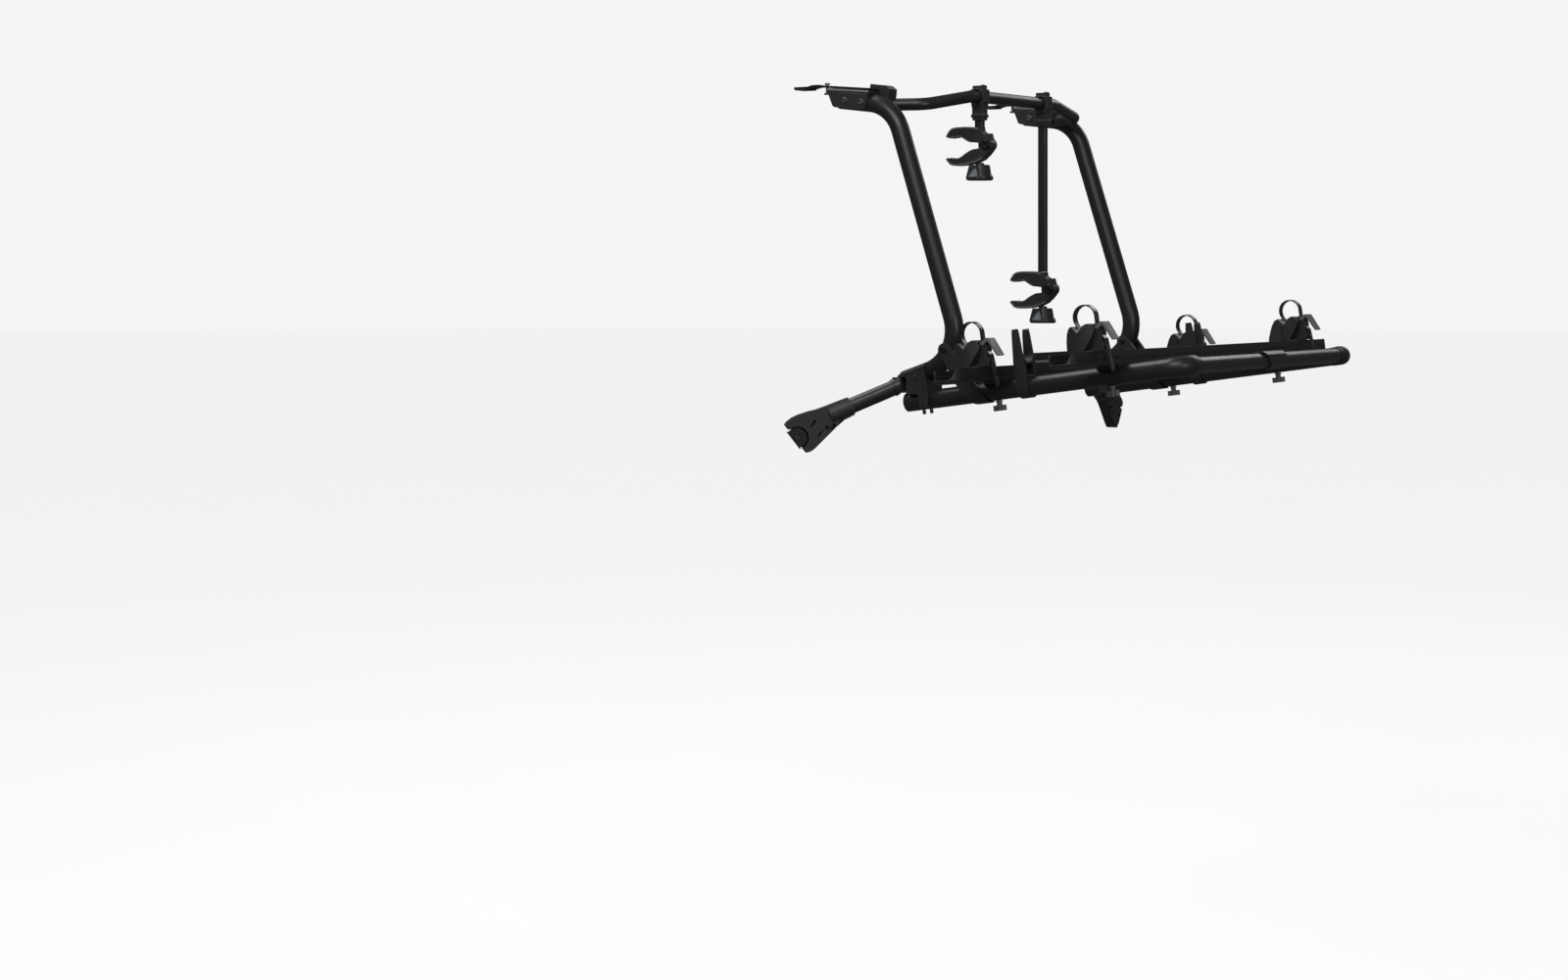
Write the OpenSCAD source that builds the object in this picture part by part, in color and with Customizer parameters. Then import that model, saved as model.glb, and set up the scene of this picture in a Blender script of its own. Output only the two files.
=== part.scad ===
// Two-bike carrier that hangs on a vehicle tailgate.
// Units are millimetres, Z is up, X runs across the vehicle and -Y points away from it.
// The origin lies midway between the two roof hook seats.

/* [Frame tubes] */
// distance from the middle of the carrier to each upright
side_x = 485; // [400:1:560]
// outside diameter of the uprights and side tubes
tube_d = 48; // [40:0.5:56]
// wall thickness of the tubes
wall = 2; // [1.5:0.1:4]
// distance from the hook seat back to the inner end of an upright
upright_back = 105; // [80:1:130]
// drop from the hook seat to the inner end of an upright
upright_drop = 28.5; // [20:0.5:40]
// straight length of an upright inside its bracket
top_run = 93; // [70:1:120]
// bend radius at the top of an upright
top_bend = 108; // [80:1:140]
// straight length of the slanted run
slant_run = 498; // [400:1:600]
// bend radius at the foot of an upright
foot_bend = 111; // [80:1:140]
// straight stub held in the lower casting
foot_run = 26; // [18:1:32]
// slope of the bracket tube below the horizontal
top_slope = 7; // [0:0.5:15]
// lean of the slanted run from the vertical
lean = 18; // [10:0.5:30]
// downward slope of the stub that enters the lower casting
foot_slope = 26; // [18:0.5:30]

/* [Cross bar] */
// outside diameter of the cross bar
bar_d = 32; // [25:0.5:40]
// distance from the middle to the inner bar kinks
bar_in_x = 220; // [150:1:280]
// distance from the middle to the outer bar kinks
bar_out_x = 405; // [330:1:430]
// distance from the middle to the bar ends
bar_end_x = 446; // [436:1:450]
// distance from the hook seat out to the straight middle of the bar
bar_reach = 343; // [300:1:400]
// distance from the hook seat out to the outer kinks
bar_mid_reach = 314; // [280:1:350]
// distance from the hook seat out to the bar ends
bar_end_reach = 205; // [190:1:230]
// drop from the hook seat to the middle of the bar
bar_drop = 13.5; // [5:0.5:30]
// drop from the hook seat to the outer kinks
bar_low = 43; // [30:0.5:60]
// bend radius of the inner kinks
bar_bend = 90; // [60:1:120]
// bend radius of the outer kinks
bar_hook_bend = 52; // [40:1:56]

/* [Roof brackets] */
// width of a roof hook plate
hook_w = 46; // [36:1:56]
// thickness of a roof hook plate
hook_t = 5; // [3:0.5:8]
// length of a hook plate from its tip to its rear end
hook_l = 236; // [200:1:260]
// length of the seat pad
pad_l = 38; // [25:1:45]
// thickness of the seat pad
pad_t = 3; // [2:0.5:6]
// width of a bracket cover
cover_w = 56; // [53:0.5:64]
// length of a bracket cover
cover_l = 130; // [110:1:150]
// head diameter of the bracket bolts
head_d = 17; // [12:0.5:22]
// shank diameter of the bracket bolts
shank_d = 8; // [6:0.5:10]
// length of a bar collar block
collar_l = 58; // [45:1:75]
// width of a bar collar block
collar_w = 40; // [38:1:46]
// height of a bar collar block
collar_h = 60; // [50:1:75]

/* [Platform] */
// distance from the hook seat out to the fold pivot
pivot_out = 434; // [400:1:460]
// drop from the hook seat to the fold pivot
pivot_drop = 671; // [600:1:720]
// upward tilt of the platform
tilt = 8; // [0:0.5:15]
// distance from the fold pivot down to the side tube axis
tube_low = 118; // [100:1:140]
// distance from the pivot in to the side tube ends
tube_in = 138.5; // [120:0.5:160]
// distance from the pivot out to the front tube
front_out = 641; // [560:1:720]
// diameter of the front tube
front_d = 38; // [30:0.5:46]
// bend radius of the corner elbows
elbow_r = 34; // [28:1:50]
// length of the faceted sleeve on the front tube
sleeve_l = 124; // [100:1:180]
// distance from the pivot out to the inner tray
tray1_out = 131; // [120:1:150]
// distance from the pivot out to the outer tray
tray2_out = 449; // [400:1:470]
// width of a wheel tray
tray_w = 70; // [60:1:90]
// height of a wheel tray
tray_h = 34; // [28:0.5:35]
// length of the full-height part of a wheel tray
tray_l = 1450; // [1300:1:1500]
// thickness of the tray walls
tray_t = 3; // [2:0.1:4]
// length of the guard rail
guard_l = 620; // [500:1:700]

/* [Wheel holders] */
// distance from the middle to each wheel holder
holder_x = 597; // [540:1:640]
// width of a toothed strap
strap_w = 19; // [15:0.5:24]
// thickness of a toothed strap
strap_t = 3; // [2:0.1:4]
// outside width of the strap loop
loop_w = 61; // [55:1:66]
// height of the strap loop over the tray walls
loop_up = 115; // [106:1:130]
// length of the hanging strap tail
tail_l = 79; // [50:1:100]
// length of a ratchet lever
lever_l = 40; // [34:1:46]
// length of a cradle along the tray
cradle_l = 74; // [60:1:90]
// size of the cradle outline over the tray walls
cradle_h = 60; // [56:0.5:64]

/* [Clips and knobs] */
// distance from the pivot out to the upright clips
clip_out = 208; // [190:1:230]
// length of a clip along the side tube
clip_l = 30; // [20:1:44]
// thickness of a clip wall
clip_t = 4.5; // [3:0.5:8]
// height of the clip prongs over the fold pivot level
clip_top = 26; // [16:1:32]
// width across a T-knob
tee_w = 36; // [28:1:44]
// drop from the side tube to the bottom of a T-knob
tee_drop = 26.5; // [22:0.5:34]

/* [Stays] */
// sideways offset of a stay pivot from its upright
stay_side = 5; // [0:0.5:10]
// distance from the fold pivot in to a stay pivot
stay_in = 139; // [137:0.5:146]
// drop from the fold pivot to a stay pivot
stay_below = 90.5; // [88:0.5:93]
// diameter of a stay tube
stay_d = 40; // [34:0.5:42]
// distance from a stay pivot to the pad pin
stay_reach = 302; // [260:1:340]
// turn of the left stay toward the vehicle
left_yaw = 49; // [20:1:60]
// turn of the right stay toward the vehicle
right_yaw = 9; // [0:1:60]
// slope of a stay below the horizontal
stay_slope = 22.6; // [16:0.1:26]
// thickness of a foot casting
foot_t = 30; // [26:1:40]
// length of a foot pad face
pad_face = 53; // [40:1:56]

/* [Frame holder arms] */
// offset of the short arm to the left of the middle
short_x = 182; // [100:1:200]
// offset of the long arm to the right of the middle
long_x = 159; // [100:1:200]
// drop from the bar axis to the hub of the short arm
short_drop = 127; // [110:1:200]
// drop from the bar axis to the hub of the long arm
long_drop = 509; // [400:1:540]
// depth of an arm tube
arm_deep = 24; // [18:0.5:30]
// width of an arm tube
arm_wide = 18; // [14:0.5:24]
// reach of the jaws from the hub to the tips
jaw_l = 123; // [100:1:140]
// thickness of a jaw
jaw_t = 28; // [20:1:36]
// outward offset of the hub from the arm tube
hub_out = 27; // [22:1:34]
// diameter of the jaw hub
hub_d = 35; // [28:1:42]
// diameter of a torque knob
knob_d = 73; // [56:1:84]
// height of a torque knob
knob_h = 40.5; // [34:0.5:44]

/* [Hidden] */
$fn = 48;
// small clearances and cuts, as named lengths
lap = 1;
run_fit = 0.05;
rest_gap = 0.4;
dark = [0.11, 0.11, 0.12];
satin = [0.16, 0.16, 0.17];
grey = [0.45, 0.47, 0.5];
steel = [0.6, 0.6, 0.62];
tube_r = tube_d/2;
bar_r = bar_d/2;
unit_l = 1;
seam_l = 0.8;
seam_h = 0.03;
bar_seam_h = 0.2;

// outline tables: every entry is a share of the named length it is multiplied by
hook_shares = [[0.119, 0.013], [-0.059, 0.013], [-0.127, 0.028], [-0.212, 0.028], [-0.326, 0.013],
  [-0.881, -0.034], [-0.881, -0.013], [-0.326, 0.034], [-0.212, 0.049], [-0.127, 0.049],
  [-0.059, 0.034], [0.119, 0.034]];
cover_shares = [[0, 0], [-0.145, -0.345], [-0.19, -0.375], [-0.84, -0.435], [-0.9, -0.42], [-0.92, -0.38],
  [-1, -0.07], [-1, -0.035], [0, 0.045]];
jaw_up_shares = [[1, 0.197], [0.972, 0.233], [0.901, 0.342], [0.802, 0.38], [0.641, 0.388],
  [0.461, 0.385], [0.3, 0.373], [0.2, 0.345], [0.14, 0.302], [0.06, 0.236], [0.01, 0.17],
  [-0.11, 0.09], [-0.05, -0.02], [0.156, 0.034], [0.246, 0.049], [0.407, 0.063], [0.479, 0.093], [0.551, 0.137],
  [0.641, 0.189], [0.7, 0.176], [0.748, 0.186], [0.8, 0.168], [0.85, 0.176], [0.883, 0.159],
  [0.946, 0.167]];
jaw_low_shares = [[1, -0.284], [0.955, -0.262], [0.91, -0.272], [0.86, -0.262], [0.8, -0.282],
  [0.766, -0.284], [0.676, -0.269], [0.605, -0.239], [0.533, -0.188], [0.479, -0.158],
  [0.407, -0.121], [0.336, -0.092], [0.192, -0.076], [-0.05, 0.02], [-0.12, -0.06], [-0.07, -0.14],
  [0.01, -0.225], [0.09, -0.29], [0.23, -0.357], [0.35, -0.385], [0.461, -0.409], [0.676, -0.431], [0.874, -0.421],
  [0.937, -0.357]];
foot_shares = [[0.481, 0.078], [0.544, 0.08], [0.704, 0.085], [0.762, 0.089], [0.828, 0.1],
  [0.915, 0.107], [0.976, 0.104], [1.027, 0.09], [1.057, 0.073], [1.059, 0.038], [0.95, -0.02],
  [0.95, -0.1], [0.99, -0.163], [0.994, -0.188], [0.978, -0.21], [0.939, -0.216], [0.895, -0.205],
  [0.846, -0.185], [0.738, -0.142], [0.654, -0.108], [0.573, -0.082], [0.522, -0.079],
  [0.47, -0.074]];
cradle_shares = [[0.95, -0.075], [0.9, 0.24], [0.783, 0.558], [0.667, 0.825], [0.517, 1.025],
  [0.367, 1.09], [0.233, 0.958], [0.083, 0.79], [-0.05, 0.925], [-0.167, 1.058],
  [-0.333, 1.125], [-0.5, 1.058], [-0.6, 0.858], [-0.5, 0.625], [-0.333, 0.383],
  [-0.167, 0.15], [-0.083, 0.007], [0.4, 0.007]];
tower_shares = [[-0.1, 0.01], [-0.8, 0.01], [-0.84, 0.22], [-0.76, 0.42], [-0.8, 0.72],
  [-0.76, 1.02], [-0.68, 1.1], [-0.48, 1.1], [-0.44, 0.7], [-0.36, 0.42]];
lever_shares = [[0.07, -0.07], [0.07, 0.07], [-0.25, 0.3], [-0.45, 0.28], [-1, -0.84], [-0.9, -0.88],
  [-0.36, 0.1], [-0.07, -0.07]];
plate_shares = [[-0.2, 0.28], [-0.25, 0.3], [-0.45, 0.28], [-1, -0.84], [-0.9, -0.88], [-0.38, 0.17],
  [-0.24, 0.19]];
casting_shares = [[0.62, -0.2], [1.31, -0.48], [1.35, -0.6], [1.34, -0.66], [1.26, -0.71], [1.12, -0.72],
  [1.12, -1.09], [1.1, -1.13], [0.77, -1.145], [0.73, -1.47], [0.47, -1.465], [0.45, -1.16],
  [0.5, -0.87], [0.58, -0.6]];
flange_shares = [[0.575, -0.4], [0.655, -0.41], [0.62, -0.56], [0.55, -0.86], [0.52, -1.16],
  [0.54, -1.465], [0.45, -1.465], [0.43, -1.16], [0.47, -0.87], [0.54, -0.56]];

// shared helpers
function unit(v) = v/norm(v);

module aim(at, t, n) {
  b = acos(t[2]);
  c = atan2(t[1], t[0]);
  xt = [cos(b)*cos(c), cos(b)*sin(c), -sin(b)];
  yt = [-sin(c), cos(c), 0];
  translate(at)
    rotate([0, b, c])
      rotate([0, 0, atan2(n*yt, n*xt)])
        children();
}

module ring(d) {
  difference() {
    circle(d=d);
    circle(d=d - 2*wall);
  }
}

module pipe(l, d) {
  linear_extrude(height=l) ring(d);
}

// short hidden band that ties a straight length to a bend
module seam(d, h = seam_h) {
  translate([0, 0, -seam_l/2])
    linear_extrude(height=seam_l)
      difference() {
        circle(d=d + 2*h);
        circle(d=d - 2*wall - 2*h);
      }
}

module elbow_pipe(r, turn, d) {
  translate([r, 0, 0])
    rotate([90, 0, 0])
      rotate([0, 0, 180 - turn])
        rotate_extrude(angle=turn)
          translate([r, 0])
            ring(d);
}

module elbow_rod(r, turn, d) {
  translate([r, 0, 0])
    rotate([90, 0, 0])
      rotate([0, 0, 180 - turn])
        rotate_extrude(angle=turn)
          translate([r, 0])
            circle(d=d);
}

// bent downward in the YZ plane, then carries its children on
module down_bend(r, turn, d) {
  seam(d);
  rotate([0, 0, -90]) elbow_pipe(r, turn, d);
  bare_bend(r, turn) {
    seam(d);
    children();
  }
}

module bare_bend(r, turn) {
  translate([0, -(r - r*cos(turn)), r*sin(turn)])
    rotate([turn, 0, 0])
      children();
}

// straight and bent pieces along a list of points
module bent_pipe(pts, rad, d) {
  last = len(pts) - 1;
  for (i = [0:last - 1]) {
    a = pts[i];
    b = pts[i + 1];
    t = unit(b - a);
    cut_a = i == 0 ? 0 : rad[i]*tan(acos(unit(a - pts[i - 1])*t)/2);
    cut_b = i == last - 1 ? 0 : rad[i + 1]*tan(acos(t*unit(pts[i + 2] - b))/2);
    aim(a + t*cut_a, t, [0, 0, 1]) pipe(norm(b - a) - cut_a - cut_b, d);
  }
  for (i = [1:last - 1]) {
    t1 = unit(pts[i] - pts[i - 1]);
    t2 = unit(pts[i + 1] - pts[i]);
    turn = acos(t1*t2);
    n = unit(t2 - t1*(t1*t2));
    tl = rad[i]*tan(turn/2);
    aim(pts[i] - t1*tl, t1, n) {
      seam(d, bar_seam_h);
      elbow_pipe(rad[i], turn, d);
    }
    aim(pts[i] + t2*tl, t2, n) seam(d, bar_seam_h);
  }
}

// side profile given as [y, z] pairs, extruded across X about the middle
module side_profile(pts, w) {
  rotate([90, 0, 90])
    linear_extrude(height=w, center=true)
      polygon(pts);
}

module x_rod(d, l) {
  rotate([0, 90, 0]) cylinder(d=d, h=l, center=true);
}

module right_half() {
  mirror([1, 0, 0]) children();
}

module platform() {
  translate([0, -pivot_out, -pivot_drop])
    rotate([-tilt, 0, 0])
      children();
}

// button head with a six-sided socket, standing on z = 0
module button_head(d) {
  head_t = d*0.22;
  difference() {
    union() {
      cylinder(d=d, h=head_t*0.45);
      translate([0, 0, head_t*0.45]) cylinder(d=d*0.78, h=head_t*0.55);
    }
    translate([0, 0, head_t*0.4]) cylinder(d=d*0.4, h=head_t, $fn=6);
  }
}

// uprights
module upright_shape() {
  difference() {
    translate([-side_x, -upright_back, -upright_drop])
      rotate([90 + top_slope, 0, 0]) {
        pipe(top_run, tube_d);
        translate([0, 0, top_run])
          down_bend(top_bend, 90 - top_slope - lean, tube_d) {
            pipe(slant_run, tube_d);
            translate([0, 0, slant_run])
              down_bend(foot_bend, 90 + lean - foot_slope, tube_d)
                pipe(foot_run, tube_d);
          }
      }
    translate([-side_x, -pivot_out, -pivot_drop]) x_rod(bolt_d, tube_d + 2*lap);
    for (s = [1, 2])
      translate([-side_x, -bolt_out(s), -bolt_low(s)]) x_rod(shank_d, tube_d + 2*lap);
  }
}
bolt_d = 10;
bolt_first = 133;
bolt_step = 50;
bolt_fall = 32.3;
function bolt_out(s) = bolt_first + (s - 1)*bolt_step;
function bolt_low(s) = bolt_fall + (s - 1)*bolt_step*tan(top_slope);

module upright_left() color(dark) upright_shape();
module upright_right() color(dark) right_half() upright_shape();

// roof hooks, pads, covers
module hook_shape() {
  difference() {
    translate([-side_x, 0, 0]) side_profile(hook_l*hook_shares, hook_w);
    translate([-side_x, -adjust_out, 0]) cylinder(d=shank_d, h=4*hook_t);
  }
}
adjust_out = 62;

module roof_hook_left() color(dark) hook_shape();
module roof_hook_right() color(dark) right_half() hook_shape();

module pad_shape() {
  translate([-side_x - hook_w/2, -pad_l + hook_l*0.11, 0]) cube([hook_w, pad_l, pad_t]);
}

module hook_seat_pads() color(dark) {
  pad_shape();
  right_half() pad_shape();
}

cover_top_out = 77;
cover_chamfer = 5;
module cover_shape() {
  difference() {
    intersection() {
      translate([-side_x, -cover_top_out, 0]) side_profile(cover_l*cover_shares, cover_w);
      translate([-side_x, 0, 0])
        rotate([90 + cover_slope, 0, 0])
          translate([0, 0, -lap])
            linear_extrude(height=2*cover_l)
              polygon([[-cover_w/2, -2*cover_w], [cover_w/2, -2*cover_w],
                [cover_w/2, cover_rise - cover_chamfer], [cover_w/2 - cover_chamfer, cover_rise],
                [cover_chamfer - cover_w/2, cover_rise],
                [-cover_w/2, cover_rise - cover_chamfer]]);
    }
    translate([-side_x, -upright_back, -upright_drop])
      rotate([90 + top_slope, 0, 0])
        translate([0, 0, -run_fit]) {
          cylinder(d=tube_d + 2*run_fit, h=top_run + run_fit);
          translate([0, 0, top_run + run_fit])
            rotate([0, 0, -90])
              elbow_rod(top_bend, 90 - top_slope - lean, tube_d + 2*rest_gap);
        }
    for (s = [1, 2])
      translate([-side_x, -bolt_out(s), -bolt_low(s)]) x_rod(shank_d, cover_w + 2*lap);
    for (s = [-1, 1])
      translate([-side_x + s*cover_w/2, -groove_out, -groove_low])
        rotate([top_slope - 1, 0, 0])
          cube([groove_deep*2, groove_l, groove_w], center=true);
    translate([-side_x, -adjust_out, -cover_l]) cylinder(d=head_d, h=2*cover_l);
  }
}
cover_slope = 5;
cover_rise = 9;
groove_out = 160;
groove_low = 13;
groove_l = 76;
groove_w = 3.5;
groove_deep = 1.2;

module bracket_cover_left() color(satin) cover_shape();
module bracket_cover_right() color(satin) right_half() cover_shape();

module bracket_bolt(s) {
  translate([-side_x, -bolt_out(s), -bolt_low(s)]) {
    x_rod(shank_d, cover_w);
    translate([-cover_w/2, 0, 0]) rotate([0, -90, 0]) button_head(head_d);
    translate([cover_w/2, 0, 0]) rotate([0, 90, 0]) button_head(head_d);
  }
}

module adjust_bolt() {
  translate([-side_x, -adjust_out, 0]) {
    translate([0, 0, -adjust_l]) cylinder(d=shank_d, h=adjust_l + 3*hook_t);
    translate([0, 0, -adjust_l]) cylinder(d=2*shank_d, h=hook_t);
    translate([0, 0, hook_t*2.32]) cylinder(d=1.7*shank_d, h=hook_t, $fn=6);
  }
}
adjust_l = 14;

module bracket_bolts() color(steel) {
  for (s = [1, 2]) {
    bracket_bolt(s);
    right_half() bracket_bolt(s);
  }
  adjust_bolt();
  right_half() adjust_bolt();
}

// cross bar and its collars
bar_pts = [[-bar_end_x, -bar_end_reach, -bar_low], [-bar_out_x, -bar_mid_reach, -bar_low],
  [-bar_in_x, -bar_reach, -bar_drop], [bar_in_x, -bar_reach, -bar_drop],
  [bar_out_x, -bar_mid_reach, -bar_low], [bar_end_x, -bar_end_reach, -bar_low]];
bar_rad = [0, bar_hook_bend, bar_bend, bar_bend, bar_hook_bend, 0];

module cross_bar() color(dark) bent_pipe(bar_pts, bar_rad, bar_d);

module collar_shape() {
  difference() {
    translate([-side_x + cover_w/2, -bar_end_reach - collar_l/2, 0])
      rotate([top_slope, 0, 0])
        translate([0, 0, collar_h*0.08 - collar_h])
          difference() {
            cube([collar_w, collar_l, collar_h]);
            translate([collar_w, 0, collar_h])
              rotate([0, 45, 0])
                cube([collar_w*0.3, 3*collar_l, collar_w*0.3], center=true);
            translate([0, 0, collar_h])
              rotate([45, 0, 0])
                cube([3*collar_w, collar_w*0.3, collar_w*0.3], center=true);
          }
    aim(bar_pts[0], unit(bar_pts[1] - bar_pts[0]), [0, 0, 1])
      translate([0, 0, -run_fit]) cylinder(d=bar_d + 2*run_fit, h=2*collar_l);
    translate([-side_x, -bolt_out(2), -bolt_low(2)]) x_rod(head_d + 2*rest_gap, cover_w + head_d/2);
  }
}

module bar_collars() color(satin) {
  collar_shape();
  right_half() collar_shape();
}

// lower castings
cast_u = 100;
cast_z = stay_below/0.905;
stay_x = side_x + stay_side;
stay_out = pivot_out - stay_in;
stay_drop = pivot_drop + stay_below;
function cast_points(shares) = [for (p = shares) [p[0]*cast_u, p[1]*cast_z]];
cast_w = 62;
crown_t = 9;
crown_slope = 19;
flange_w = 74;
lug_t = 5;
lug_r = 12;
lug_l = 60;
pin_d = 8;
eye_up = 17.5;
eye_down = 16;

// outlines are measured from the fold pivot
module at_pivot() translate([-side_x, -pivot_out, -pivot_drop]) children();

module casting_shape(yaw) {
  difference() {
    union() {
      intersection() {
        at_pivot() side_profile(cast_points(casting_shares), cast_w);
        at_pivot()
          translate([0, cast_u*0.62, -cast_z*0.32])
            rotate([90 - crown_slope, 0, 0])
              linear_extrude(height=4*cast_u, center=true)
                polygon([[-cast_w*0.22, 0], [cast_w*0.22, 0], [cast_w*0.5, -crown_t],
                  [cast_w*0.5, -2*cast_u], [-cast_w*0.5, -2*cast_u], [-cast_w*0.5, -crown_t]]);
      }
      at_pivot() side_profile(cast_points(flange_shares), flange_w);
      stay_hinge(yaw) {
        translate([0, 0, eye_up + rest_gap]) lug_shape();
        translate([0, 0, -eye_down - rest_gap - lug_t]) lug_shape();
      }
    }
    translate([-side_x, -upright_back, -upright_drop]) upright_bore();
    platform() translate([-side_x, 0, -tube_low]) saddle_cut();
    stay_hinge(yaw) cylinder(d=pin_d, h=6*lug_r, center=true);
  }
  stay_hinge(yaw)
    translate([0, 0, -eye_down - lug_t])
      cylinder(d=pin_d, h=eye_up + eye_down + 2*lug_t + 2*rest_gap);
  at_pivot()
    translate([pin_d*0.4 - cast_w/2, cast_u*rivet_share[0], cast_z*rivet_share[1]])
      rotate([0, -90, 0])
        cylinder(d=1.4*pin_d, h=0.7*pin_d);
}
rivet_share = [0.86, -0.7];

module lug_shape() {
  cylinder(r=lug_r, h=lug_t);
  translate([0, -lug_r, 0]) cube([lug_l, 2*lug_r, lug_t]);
}

// start of the foot bend, seen from the inner end of the upright
module at_slant()
  rotate([90 + top_slope, 0, 0])
    translate([0, 0, top_run])
      bare_bend(top_bend, 90 - top_slope - lean)
        translate([0, 0, slant_run])
          children();

// start of the straight stub below the foot bend
module at_foot() at_slant() bare_bend(foot_bend, 90 + lean - foot_slope) children();

// clearance for the upright inside the casting, following its foot bend
module upright_bore() {
  at_slant() rotate([0, 0, -90]) elbow_rod(foot_bend, 90 + lean - foot_slope, tube_d + 2*rest_gap);
  at_foot()
    translate([0, 0, -tube_r])
      cylinder(d=tube_d + 2*run_fit, h=foot_run + tube_r + run_fit);
}

saddle_fit = 0.6;
module saddle_cut() {
  rotate([90, 0, 0]) cylinder(r=tube_r + saddle_fit, h=4*tube_in, center=true);
  translate([-tube_r - saddle_fit, -2*tube_in, -2*tube_d])
    cube([tube_d + 2*saddle_fit, 4*tube_in, 2*tube_d]);
}

module lower_casting_left() color(satin) casting_shape(left_yaw);
module lower_casting_right() color(satin) right_half() casting_shape(right_yaw);

// fold pivot bolts
ear_t = 7;
ear_gap = 0.5;
bolt_half = tube_r + ear_gap + ear_t + ear_gap;
module pivot_bolt() {
  translate([-side_x, -pivot_out, -pivot_drop]) {
    x_rod(bolt_d, 2*bolt_half);
    translate([-bolt_half, 0, 0]) rotate([0, -90, 0]) button_head(head_d);
    translate([bolt_half, 0, 0]) rotate([0, 90, 0]) button_head(head_d);
  }
}

module fold_pivot_bolts() color(steel) {
  pivot_bolt();
  right_half() pivot_bolt();
}

// platform frame
module side_tube_shape() {
  difference() {
    translate([-side_x, tube_in, -tube_low])
      rotate([90, 0, 0])
        pipe(tube_in + front_out - elbow_r, tube_d);
    for (s = [tray1_out, tray2_out])
      translate([-side_x, tee_in - s, -tube_low])
        cylinder(d=tee_bolt + 2*rest_gap, h=3*tube_d, center=true);
  }
}
tee_bolt = 8;

module side_tube_left() color(dark) platform() side_tube_shape();
module side_tube_right() color(dark) platform() right_half() side_tube_shape();

plug_l = 16;
plug_cap = 4;
screw_d = 9;
module plug_shape() {
  translate([-side_x, tube_in, -tube_low]) {
    rotate([90, 0, 0]) cylinder(d=tube_d - 2*wall, h=plug_l);
    rotate([-90, 0, 0]) cylinder(d=tube_d, h=plug_cap);
  }
  for (s = [1, 2])
    translate([-side_x, tube_in - plug_first - (s - 1)*plug_step, -tube_low - tube_r - screw_d*1.25])
      cylinder(d=screw_d, h=screw_d*1.25 - rest_gap/2);
}
plug_first = 41;
plug_step = 22;

module tube_end_plugs() color(dark) platform() {
  plug_shape();
  right_half() plug_shape();
}

elbow_wall = 3;
sock_l = 26;
module elbow_shape() {
  difference() {
    translate([-side_x, -front_out + elbow_r, -tube_low]) {
      rotate([90, 0, 0]) elbow_rod(elbow_r, 90, tube_d + 2*unit_l);
      rotate([-90, 0, 0]) cylinder(d=tube_d + 2*unit_l, h=unit_l);
    }
    translate([-side_x, 0, -tube_low]) rotate([90, 0, 0]) cylinder(d=tube_d, h=front_out - elbow_r);
  }
  difference() {
    translate([elbow_r - side_x, -front_out, -tube_low]) rotate([0, 90, 0]) {
      cylinder(d=tube_d + 2*unit_l, h=sock_l*0.3);
      translate([0, 0, sock_l*0.3]) cylinder(d=front_d + 2*elbow_wall, h=sock_l*0.7);
    }
    translate([elbow_r - side_x, -front_out, -tube_low])
      rotate([0, 90, 0])
        translate([0, 0, sock_l*0.2])
          cylinder(d=front_d + 2*run_fit, h=sock_l);
  }
}

module corner_elbows() color(dark) platform() {
  elbow_shape();
  right_half() elbow_shape();
}

front_half = side_x - elbow_r - sock_l*0.2;
module front_tube() color(dark) platform()
  translate([-front_half, -front_out, -tube_low])
    rotate([0, 90, 0])
      pipe(2*front_half, front_d);

sleeve_h = 45;
module front_sleeve() color(dark) platform()
  translate([0, -front_out, -tube_low]) {
    difference() {
      intersection() {
        rotate([0, 90, 0])
          linear_extrude(height=sleeve_l, center=true)
            polygon([[-sleeve_h/2, sleeve_h*0.3], [-sleeve_h/2, -sleeve_h*0.3],
              [-sleeve_h*0.3, -sleeve_h/2], [sleeve_h*0.28, -sleeve_h/2],
              [sleeve_h/2, -sleeve_h*0.22], [sleeve_h/2, sleeve_h*0.3],
              [sleeve_h*0.3, sleeve_h/2], [-sleeve_h*0.3, sleeve_h/2]]);
        rotate([90, 0, 0])
          linear_extrude(height=2*sleeve_h, center=true)
            polygon([[-sleeve_l*0.54, sleeve_h*0.6], [sleeve_l*0.44, sleeve_h*0.6], [sleeve_l*0.5, 0],
              [sleeve_l*0.46, -sleeve_h*0.6], [-sleeve_l*0.2, -sleeve_h*0.6]]);
      }
      x_rod(front_d + 2*run_fit, 2*sleeve_l);
    }
  }

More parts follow.
